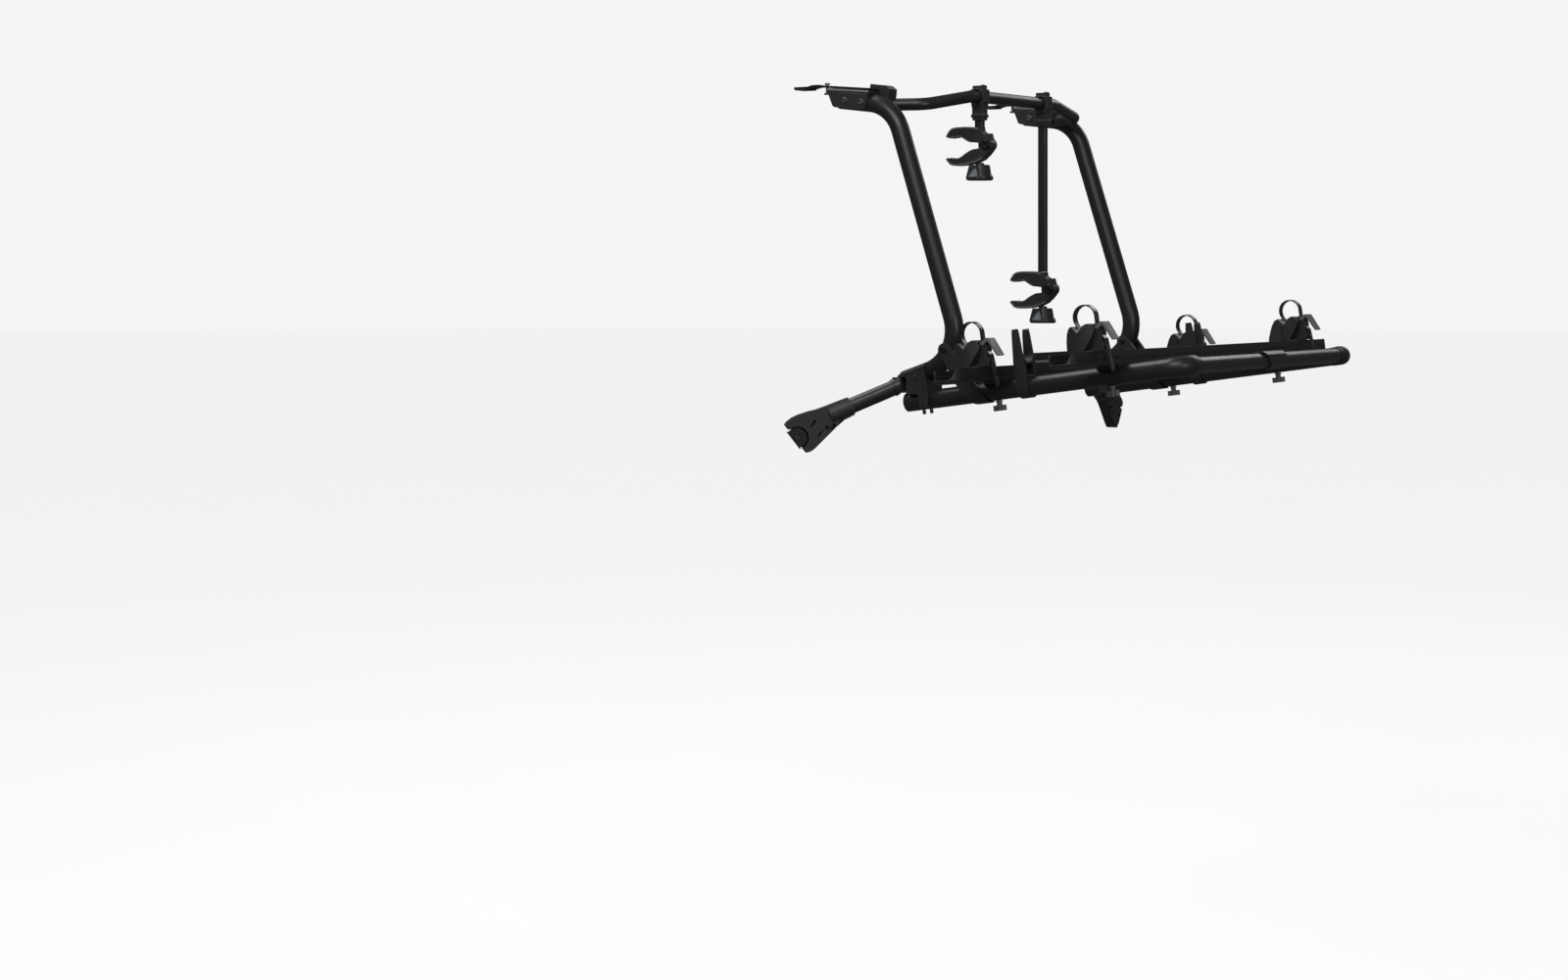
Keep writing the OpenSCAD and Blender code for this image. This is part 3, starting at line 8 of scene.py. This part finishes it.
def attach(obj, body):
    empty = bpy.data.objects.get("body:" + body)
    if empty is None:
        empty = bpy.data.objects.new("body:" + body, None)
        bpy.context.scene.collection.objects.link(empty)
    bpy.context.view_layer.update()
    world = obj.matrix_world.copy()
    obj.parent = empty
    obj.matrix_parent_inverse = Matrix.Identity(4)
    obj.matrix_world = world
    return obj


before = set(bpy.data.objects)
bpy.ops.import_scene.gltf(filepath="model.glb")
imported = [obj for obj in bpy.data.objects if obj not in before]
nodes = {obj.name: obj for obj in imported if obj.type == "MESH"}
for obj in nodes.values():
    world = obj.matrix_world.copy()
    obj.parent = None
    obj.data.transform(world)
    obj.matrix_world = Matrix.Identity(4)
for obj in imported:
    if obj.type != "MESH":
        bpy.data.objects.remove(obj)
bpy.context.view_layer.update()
scene = bpy.context.scene
scene.view_settings.view_transform = "Standard"


# camera at the photograph's viewing angle: level, with a small vertical shift
SENSOR, LENS, SHIFT_UP = 36.0, 60.38, -0.14066
EYE = (-6.18181, -3.86293, -0.46851)
LOOK = Vector((0.82258, 0.56866, 0.0))
CLIP_NEAR, CLIP_FAR = 0.1, 200.0


def make_camera():
    cam = bpy.data.cameras.new("photo_camera")
    obj = bpy.data.objects.new("photo_camera", cam)
    scene.collection.objects.link(obj)
    cam.sensor_width = SENSOR
    cam.lens = LENS
    cam.shift_y = SHIFT_UP
    cam.clip_start = CLIP_NEAR
    cam.clip_end = CLIP_FAR
    obj.location = EYE
    obj.rotation_euler = LOOK.to_track_quat("-Z", "Y").to_euler()
    scene.camera = obj


make_camera()


# materials, all in the object's own coordinates
class Tree:
    """One procedural material, with short calls for the nodes that it is built from."""

    def __init__(self, name):
        self.mat = bpy.data.materials.new(name)
        self.mat.use_nodes = True
        self.t = self.mat.node_tree
        self.t.nodes.clear()
        out = self.add("ShaderNodeOutputMaterial")
        self.bsdf = self.add("ShaderNodeBsdfPrincipled")
        self.link(self.bsdf.outputs[0], out.inputs[0])
        self.co = self.add("ShaderNodeTexCoord").outputs["Object"]

    def add(self, kind, **props):
        n = self.t.nodes.new(kind)
        for k, v in props.items():
            setattr(n, k, v)
        return n

    def link(self, a, b):
        self.t.links.new(a, b)

    def noise(self, scale, detail=3.0, rough=0.55, stretch=None):
        src = self.co
        if stretch:
            m = self.add("ShaderNodeMapping")
            m.inputs["Scale"].default_value = stretch
            self.link(src, m.inputs["Vector"])
            src = m.outputs[0]
        n = self.add("ShaderNodeTexNoise")
        n.inputs["Scale"].default_value = scale
        n.inputs["Detail"].default_value = detail
        n.inputs["Roughness"].default_value = rough
        self.link(src, n.inputs["Vector"])
        return n.outputs["Fac"]

    def cells(self, scale):
        n = self.add("ShaderNodeTexVoronoi")
        n.inputs["Scale"].default_value = scale
        self.link(self.co, n.inputs["Vector"])
        return n.outputs["Distance"]

    def span(self, value, lo, hi, a=0.3, b=0.7):
        """Maps a to b onto lo to hi. Noise seldom leaves 0.3 to 0.7."""
        m = self.add("ShaderNodeMapRange")
        m.inputs["From Min"].default_value = a
        m.inputs["From Max"].default_value = b
        m.inputs["To Min"].default_value = lo
        m.inputs["To Max"].default_value = hi
        self.link(value, m.inputs["Value"])
        return m.outputs[0]

    def mix(self, fac, a, b):
        m = self.add("ShaderNodeMix", data_type="RGBA")
        self.link(fac, m.inputs[0])
        for sock, v in ((m.inputs[6], a), (m.inputs[7], b)):
            if isinstance(v, tuple):
                sock.default_value = (*v, 1.0)
            else:
                self.link(v, sock)
        return m.outputs[2]

    def bump(self, height, strength, distance, normal=None):
        b = self.add("ShaderNodeBump")
        b.inputs["Strength"].default_value = strength
        b.inputs["Distance"].default_value = distance
        self.link(height, b.inputs["Height"])
        if normal is not None:
            self.link(normal, b.inputs["Normal"])
        return b.outputs[0]

    def edge(self, radius):
        """A mask that is one on worn outer edges, and the rounded normal that it comes from."""
        bev = self.add("ShaderNodeBevel", samples=4)
        bev.inputs["Radius"].default_value = radius
        geo = self.add("ShaderNodeNewGeometry")
        dot = self.add("ShaderNodeVectorMath", operation="DOT_PRODUCT")
        self.link(bev.outputs[0], dot.inputs[0])
        self.link(geo.outputs["Normal"], dot.inputs[1])
        return self.span(dot.outputs["Value"], 1.0, 0.0, 0.86, 0.995), bev.outputs[0]


def shade(c, k):
    return tuple(min(1.0, v * k) for v in c)


# scales of the noises, in repeats per metre
MOTTLE, CLOUD, STREAKS, RUBBING = 7.0, 60.0, 35.0, 45.0
ROUGH_LESS, ROUGH_MORE = 0.025, 0.03


def finish_of(name, colour, rough, metal=0.0, grain=900.0, grain_d=0.00006, cell=0.0, worn=None,
              edge_r=0.0009, spread=0.12, streak=None, coat=0.0, spec=0.5, sheen=0.0):
    """A mottled, grained surface with pale specks, worn edges and, where asked, streaks along one axis."""
    t = Tree(name)
    mottle = t.noise(MOTTLE, 4.0)
    cloud = t.noise(CLOUD, 3.0)
    base = t.mix(t.span(mottle, 0.0, 1.0), shade(colour, 1 - spread), shade(colour, 1 + spread))
    fine = t.noise(grain, 2.0)
    speck = t.noise(grain * 0.4, 1.0)
    base = t.mix(t.span(speck, 0.0, 0.35, 0.62, 0.75), base, shade(colour, 1.5))
    mask, soft = t.edge(edge_r)
    normal = t.bump(fine, 0.22, grain_d, soft)
    if cell:
        normal = t.bump(t.cells(cell), 0.2, grain_d, normal)
    if streak:
        lines = t.noise(STREAKS, 4.0, 0.6, streak)
        base = t.mix(t.span(lines, 0.0, 0.35, 0.55, 0.8), base, shade(colour, 1.8))
        normal = t.bump(lines, 0.12, grain_d * 2, normal)
    if worn:
        rub = t.add("ShaderNodeMath", operation="MULTIPLY")
        t.link(mask, rub.inputs[0])
        t.link(t.span(t.noise(RUBBING, 5.0, 0.7), 0.15, 1.0, 0.4, 0.62), rub.inputs[1])
        base = t.mix(rub.outputs[0], base, worn)
    t.link(base, t.bsdf.inputs["Base Color"])
    t.link(t.span(cloud, rough - ROUGH_LESS, rough + ROUGH_MORE), t.bsdf.inputs["Roughness"])
    t.link(normal, t.bsdf.inputs["Normal"])
    t.bsdf.inputs["Metallic"].default_value = metal
    t.bsdf.inputs["Specular IOR Level"].default_value = spec
    t.bsdf.inputs["Coat Weight"].default_value = coat
    t.bsdf.inputs["Coat Roughness"].default_value = 0.25
    t.bsdf.inputs["Sheen Weight"].default_value = sheen
    return t.mat


M = {
    "tube": finish_of(
        "satin_powder_coat", (0.019, 0.019, 0.0195), 0.34,
        grain=1100, cell=1500, worn=(0.06, 0.06, 0.062), grain_d=0.00005),
    "tray": finish_of(
        "satin_tray_coat", (0.018, 0.018, 0.019), 0.40,
        grain=1100, worn=(0.07, 0.07, 0.072), streak=(0.25, 6.0, 6.0)),
    "plate": finish_of(
        "coated_hook_plate", (0.008, 0.008, 0.0085), 0.55,
        grain=900, worn=(0.03, 0.03, 0.03), spec=0.3),
    "moulded": finish_of(
        "grained_black_plastic", (0.026, 0.0265, 0.0275), 0.46,
        grain=800, cell=900, grain_d=0.0001, worn=(0.06, 0.062, 0.065), edge_r=0.0022),
    "sleeve": finish_of(
        "smooth_sleeve_plastic", (0.02, 0.0205, 0.021), 0.38,
        grain=1200, worn=(0.06, 0.06, 0.06), edge_r=0.0016),
    "grey": finish_of(
        "grey_moulded_plastic", (0.16, 0.168, 0.178), 0.42,
        grain=1000, cell=1200, worn=(0.26, 0.27, 0.28)),
    "lever": finish_of(
        "lever_plastic", (0.14, 0.147, 0.155), 0.45,
        grain=1000, cell=1200, worn=(0.24, 0.25, 0.26)),
    "strap": finish_of(
        "glossy_strap_plastic", (0.014, 0.014, 0.015), 0.30,
        grain=1300, grain_d=0.00003, worn=(0.05, 0.05, 0.05), coat=0.1),
    "rubber": finish_of(
        "matte_rubber", (0.012, 0.012, 0.012), 0.7,
        grain=600, cell=700, grain_d=0.00012, sheen=0.1),
    "blackened": finish_of(
        "blackened_steel", (0.05, 0.05, 0.052), 0.4,
        metal=1.0, grain=900, worn=(0.2, 0.2, 0.2)),
    "steel": finish_of(
        "dark_zinc_steel", (0.22, 0.22, 0.23), 0.36,
        metal=1.0, grain=900, worn=(0.45, 0.45, 0.46), streak=(1.0, 1.0, 12.0)),
    "rim": finish_of(
        "soft_grey_rim", (0.1, 0.118, 0.13), 0.55,
        grain=900, cell=1100, grain_d=0.0001, spread=0.15),
    "knob": finish_of(
        "knob_plastic", (0.022, 0.022, 0.023), 0.4,
        grain=900, cell=1000, worn=(0.07, 0.07, 0.07), edge_r=0.0016),
}

# the first row with a beginning of the node's name gives its material
LOOKS = [
    ("moulded", ("upright_clips",)),
    ("tube", ("upright_", "cross_bar", "side_tube_", "front_tube", "guard_rail", "stay_tube_",
              "short_arm_tube", "long_arm_tube")),
    ("tray", ("inner_tray", "outer_tray")),
    ("plate", ("roof_hook_",)),
    ("sleeve", ("front_sleeve", "corner_elbows", "tube_end_plugs")),
    ("grey", ("tee_knob_",)),
    ("lever", ("strap_lever_",)),
    ("strap", ("strap_",)),
    ("rubber", ("hook_seat_pads", "foot_pad_")),
    ("steel", ("bracket_bolts",)),
    ("blackened", ("fold_pivot_bolts", "short_hub_bolt", "long_hub_bolt")),
    ("knob", ("short_knob", "long_knob")),
    ("moulded", ("",)),
]


def look_of(name):
    return next(key for key, starts in LOOKS if name.startswith(starts))


for name, obj in nodes.items():
    obj.data.materials.clear()
    obj.data.materials.append(M[look_of(name)])


# pieces that the solids leave out
SOFT_EDGE = 0.0007
SHARP_FROM = math.radians(32)


def finished(name, bm, mat, body, smooth=True):
    """Turns a bmesh into a piece with soft edges that rides on a body."""
    mesh = bpy.data.meshes.new(name)
    bmesh.ops.recalc_face_normals(bm, faces=bm.faces)
    bm.to_mesh(mesh)
    bm.free()
    for p in mesh.polygons:
        p.use_smooth = smooth
    obj = bpy.data.objects.new(name, mesh)
    scene.collection.objects.link(obj)
    mesh.materials.append(mat)
    bev = obj.modifiers.new("soft_edges", "BEVEL")
    bev.width = SOFT_EDGE
    bev.segments = 3
    bev.limit_method = "ANGLE"
    bev.angle_limit = SHARP_FROM
    obj.modifiers.new("even_shading", "WEIGHTED_NORMAL")
    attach(obj, body)
    return obj


def chaikin(pts, rounds):
    """Cuts the corners of an open line, once per round."""
    for _ in range(rounds):
        out = [pts[0]]
        for a, b in zip(pts, pts[1:]):
            out.append(a.lerp(b, 0.25))
            out.append(a.lerp(b, 0.75))
        out.append(pts[-1])
        pts = out
    return pts


# the cross bar's axis, and the arms on it: name, place along the bar and drop to the jaws
BAR_OUT, BAR_DROP = 0.343, 0.0135
ARMS = [("short", -0.182, 0.127), ("long", 0.159, 0.509)]

# a jaw's length and thickness, its hub's place, and outlines as shares of the length: out and up
JAW_L, JAW_T, HUB_OUT = 0.123, 0.028, 0.027
UP_BACK = [(0.985, 0.215), (0.901, 0.342), (0.802, 0.38), (0.641, 0.388), (0.461, 0.385), (0.3, 0.373),
           (0.2, 0.345)]
UP_TEETH = [(1.0, 0.197), (0.946, 0.167), (0.883, 0.159), (0.85, 0.176), (0.8, 0.168), (0.748, 0.186),
            (0.7, 0.176), (0.641, 0.189), (0.551, 0.137), (0.479, 0.093), (0.407, 0.063)]
LOW_BACK = [(0.99, -0.3), (0.937, -0.357), (0.874, -0.421), (0.676, -0.431), (0.461, -0.409),
            (0.35, -0.385), (0.23, -0.357), (0.09, -0.29)]
LOW_TEETH = [(1.0, -0.284), (0.955, -0.262), (0.91, -0.272), (0.86, -0.262), (0.8, -0.282),
             (0.766, -0.284), (0.676, -0.269), (0.605, -0.239), (0.533, -0.188), (0.479, -0.158),
             (0.407, -0.121)]

# a rim laps over both sides of a jaw, and its crown is narrower than its foot
RIM_OVER, CROWN_WIDE, FOOT_PROUD = 0.0008, 0.7, 0.65
# how deep a rim sits in the jaw, how far it stands proud, and how often its corners are cut
BACK_RIM, GRIP_RIM = (0.0042, 0.0014, 2), (0.0030, 0.0003, 0)


def rim(name, outline, drop, x, body, inward, deep, proud, rounds):
    """A soft band over a jaw's edge, proud of the outline and wrapped a little way down both sides."""
    line = chaikin([Vector((0.0, out * JAW_L, up * JAW_L)) for out, up in outline], rounds)
    centre = Vector((x, -BAR_OUT - HUB_OUT, -BAR_DROP - drop))
    half = JAW_T / 2 + RIM_OVER
    bm = bmesh.new()
    rows = []
    for i, p in enumerate(line):
        a, b = line[max(i - 1, 0)], line[min(i + 1, len(line) - 1)]
        t = (b - a).normalized()
        n = Vector((0, -t.z, t.y))
        if n.z * inward < 0:
            n = -n
        foot, root, crown = p - n * proud * FOOT_PROUD, p + n * deep, p - n * proud
        section = ((-1, root), (-1, foot), (-CROWN_WIDE, crown), (CROWN_WIDE, crown), (1, foot), (1, root))
        rows.append([bm.verts.new(centre + q + Vector((s * half, 0, 0))) for s, q in section])
    for r0, r1 in zip(rows, rows[1:]):
        for k in range(len(r0)):
            m = (k + 1) % len(r0)
            bm.faces.new((r0[k], r0[m], r1[m], r1[k]))
    bm.faces.new(rows[0])
    bm.faces.new(list(reversed(rows[-1])))
    return finished(name, bm, M["rim"], body)


# a frame knob: diameter, height, and its place under the hub, a share of the jaw's length and a gap
KNOB_D, KNOB_H, KNOB_UNDER_HUB, KNOB_GAP = 0.073, 0.0405, 0.38, 0.006
# its cone's radius as shares of the diameter and height as shares of the height, from the foot up
KNOB_CONE = [(0.485, 0.2), (0.4, 0.42), (0.3, 0.7), (0.27, 0.86)]
# a window: half its angle, its foot and height as shares of the cone, and how far its top falls away
WINDOW_HALF, WINDOW_LOW, WINDOW_TALL, WINDOW_FALL = math.radians(23), 0.03, 0.8, 0.75
WINDOW_PROUD, WINDOW_DEEP = 0.0007, 0.0012
WINDOW_COLS, WINDOW_ROWS = 12, 8
WINDOW_ANGLES = (-65, 55, 175)


def cone_at(share):
    """Radius and height, as shares, at a share of the way up the knob's cone."""
    s = share * (len(KNOB_CONE) - 1)
    j = min(int(s), len(KNOB_CONE) - 2)
    (r0, z0), (r1, z1) = KNOB_CONE[j], KNOB_CONE[j + 1]
    return r0 + (r1 - r0) * (s - j), z0 + (z1 - z0) * (s - j)


def knob_window(name, x, drop, angle, body):
    """A pale light panel let into the knob's cone between two lobes."""
    foot = -BAR_DROP - drop - JAW_L * KNOB_UNDER_HUB - KNOB_GAP - KNOB_H
    bm = bmesh.new()
    cols = []
    for i in range(WINDOW_COLS + 1):
        u = -1 + 2 * i / WINDOW_COLS
        top = 1 - WINDOW_FALL * u * u
        ang = math.radians(angle) + u * WINDOW_HALF
        out = Vector((math.cos(ang), math.sin(ang), 0))
        col = []
        for k in range(WINDOW_ROWS + 1):
            r, z = cone_at(WINDOW_LOW + WINDOW_TALL * top * k / WINDOW_ROWS)
            col.append((out, r * KNOB_D, foot + z * KNOB_H))
        cols.append(col)

    def skin(offset):
        return [[bm.verts.new(Vector((x, -BAR_OUT, z)) + out * (r + offset)) for out, r, z in col]
                for col in cols]

    front, back = skin(WINDOW_PROUD), skin(-WINDOW_DEEP)
    last, high = WINDOW_COLS, WINDOW_ROWS
    for i in range(last):
        for k in range(high):
            bm.faces.new((front[i][k], front[i + 1][k], front[i + 1][k + 1], front[i][k + 1]))
            bm.faces.new((back[i][k], back[i][k + 1], back[i + 1][k + 1], back[i + 1][k]))
        bm.faces.new((front[i][0], back[i][0], back[i + 1][0], front[i + 1][0]))
        bm.faces.new((front[i][high], front[i + 1][high], back[i + 1][high], back[i][high]))
    for k in range(high):
        bm.faces.new((front[0][k], front[0][k + 1], back[0][k + 1], back[0][k]))
        bm.faces.new((front[last][k], back[last][k], back[last][k + 1], front[last][k + 1]))
    return finished(name, bm, M["rim"], body)


for arm, x, drop in ARMS:
    rim(f"{arm}_upper_back_rim", UP_BACK, drop, x, f"{arm}_arm", -1, *BACK_RIM)
    rim(f"{arm}_upper_grip_rim", UP_TEETH, drop, x, f"{arm}_arm", 1, *GRIP_RIM)
    rim(f"{arm}_lower_back_rim", LOW_BACK, drop, x, f"{arm}_lower_jaw", 1, *BACK_RIM)
    rim(f"{arm}_lower_grip_rim", LOW_TEETH, drop, x, f"{arm}_lower_jaw", -1, *GRIP_RIM)
    for k, angle in enumerate(WINDOW_ANGLES):
        knob_window(f"{arm}_knob_window_{k + 1}", x, drop, angle, f"{arm}_knob")


# the left stay's pin, its reach and its slope in degrees; the right stay is a mirror image
STAY_PIVOT = Vector((-0.49, -0.295, -0.7615))
STAY_REACH, STAY_SLOPE = 0.302, 22.6
# slots of a foot as shares of the stay's reach: distance, height, turn in degrees, length and width
FOOT_SLOTS = [(0.832, -0.008, 30, 0.07, 0.018), (0.811, -0.11, 24, 0.064, 0.014),
              (0.734, -0.084, -50, 0.04, 0.03), (0.687, -0.094, 22, 0.055, 0.028),
              (0.604, -0.075, 22, 0.05, 0.01)]
WEB_T, WEB_LAP = 0.005, 0.003
LEFT_YAW, RIGHT_YAW = 49, 9


def turned(degrees, axis):
    return Matrix.Rotation(math.radians(degrees), 4, axis)


def foot_webs(side, yaw):
    """Thin floors halfway through the slots of a foot, let a little way into its walls."""
    place = Matrix.Translation(STAY_PIVOT) @ turned(-yaw, "Z") @ turned(-STAY_SLOPE, "Y")
    if side == "right":
        place = Matrix.Scale(-1, 4, (1, 0, 0)) @ place
    bm = bmesh.new()
    for far, up, turn, length, width in FOOT_SLOTS:
        size = Matrix.Diagonal((length * STAY_REACH + WEB_LAP, WEB_T, width * STAY_REACH + WEB_LAP, 1))
        slot = Matrix.Translation((-far * STAY_REACH, 0, up * STAY_REACH)) @ turned(-turn, "Y")
        bmesh.ops.create_cube(bm, size=1.0, matrix=place @ slot @ size)
    return finished(f"foot_slot_webs_{side}", bm, M["moulded"], f"stay_{side}", smooth=False)


foot_webs("left", LEFT_YAW)
foot_webs("right", RIGHT_YAW)


# plain pale floor far below, as the rack hangs at roof height
FLOOR_R, FLOOR_SIDES, FLOOR_DROP, FLOOR_GLOW = 60.0, 96, 1.97, 0.86
FLOOR_DARK, FLOOR_PALE = (0.2, 0.2, 0.2), (0.22, 0.22, 0.22)
FLOOR_MOTTLE = 0.8
WHITE = (1.0, 1.0, 1.0, 1.0)


def make_floor():
    bm = bmesh.new()
    bmesh.ops.create_circle(bm, cap_ends=True, radius=FLOOR_R, segments=FLOOR_SIDES)
    mesh = bpy.data.meshes.new("floor")
    bm.to_mesh(mesh)
    bm.free()
    obj = bpy.data.objects.new("floor", mesh)
    obj.location = (0, 0, -FLOOR_DROP)
    scene.collection.objects.link(obj)
    t = Tree("pale_floor")
    base = t.mix(t.span(t.noise(FLOOR_MOTTLE, 3.0), 0.0, 1.0), FLOOR_DARK, FLOOR_PALE)
    t.link(base, t.bsdf.inputs["Base Color"])
    t.bsdf.inputs["Roughness"].default_value = 0.9
    t.bsdf.inputs["Specular IOR Level"].default_value = 0.1
    t.bsdf.inputs["Emission Color"].default_value = WHITE
    t.bsdf.inputs["Emission Strength"].default_value = FLOOR_GLOW
    mesh.materials.append(t.mat)
    obj.visible_diffuse = False
    obj.visible_glossy = False


# soft studio light: the world's level as light and as backdrop, and four lamps with size and watts
AMBIENT, BACKDROP = 0.09, 0.91
MIDDLE = Vector((0, -0.5, -0.5))
LAMPS = [
    ("key_left", Vector((-4.5, -1.5, 2.6)), (3.6, 2.2), 115),
    ("top_soft", Vector((-0.5, 1.5, 2.6)), (3.0, 1.6), 60),
    ("side_strip", Vector((4.2, -0.7, 1.8)), (2.6, 1.2), 32),
    ("front_fill", Vector((-3.5, -6.0, 0.4)), (2.4, 2.4), 60),
]


def make_lamp(name, loc, size, watts):
    lamp = bpy.data.lights.new(name, "AREA")
    lamp.shape = "RECTANGLE"
    lamp.size, lamp.size_y = size
    lamp.energy = watts
    obj = bpy.data.objects.new(name, lamp)
    obj.location = loc
    obj.rotation_euler = (MIDDLE - loc).to_track_quat("-Z", "Y").to_euler()
    scene.collection.objects.link(obj)


def make_world():
    world = bpy.data.worlds.new("studio")
    world.use_nodes = True
    scene.world = world
    t = world.node_tree
    bg = t.nodes["Background"]
    path = t.nodes.new("ShaderNodeLightPath")
    level = t.nodes.new("ShaderNodeMapRange")
    level.inputs["To Min"].default_value = AMBIENT
    level.inputs["To Max"].default_value = BACKDROP
    t.links.new(path.outputs["Is Camera Ray"], level.inputs["Value"])
    t.links.new(level.outputs[0], bg.inputs["Strength"])
    bg.inputs["Color"].default_value = WHITE


make_floor()
make_world()
for lamp in LAMPS:
    make_lamp(*lamp)
